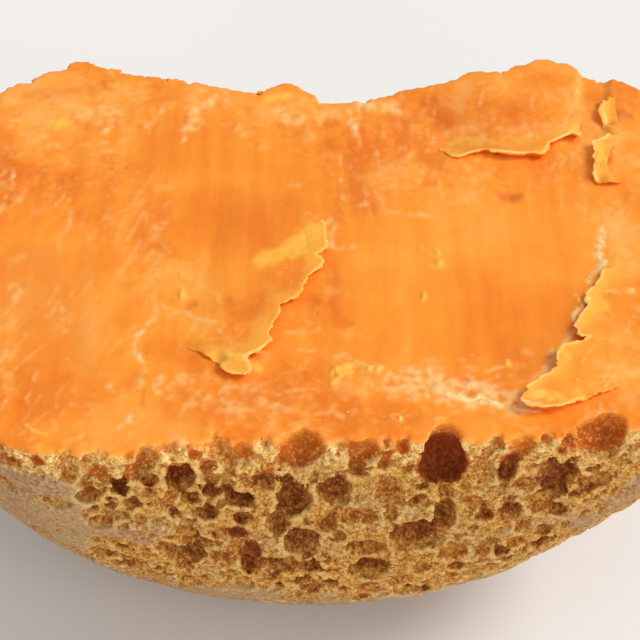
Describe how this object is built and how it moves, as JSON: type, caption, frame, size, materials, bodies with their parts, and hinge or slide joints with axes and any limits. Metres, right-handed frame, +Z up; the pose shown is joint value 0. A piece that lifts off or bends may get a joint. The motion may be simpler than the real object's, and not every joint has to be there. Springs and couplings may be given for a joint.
{
  "type": "aged mimolette cheese, cut half",
  "caption": "Half of an aged mimolette cheese ball lying on its mite-pitted rind, with the rough, torn orange cut face up.",
  "frame": {"origin": "middle of the bounding box's footprint, on the plane that the cheese rests on", "axes": "+Z up out of the cut face; X along the face's length; Y along the axis that the ball was turned about, with the shown side of the rind at -Y"},
  "size_m": [0.1882, 0.1289, 0.0841],
  "materials": {
    "cheese": "waxy orange paste with a dry golden-brown pitted rind"
  },
  "bodies": {
    "root": {"cheese": "cheese"}
  },
  "joints": []
}
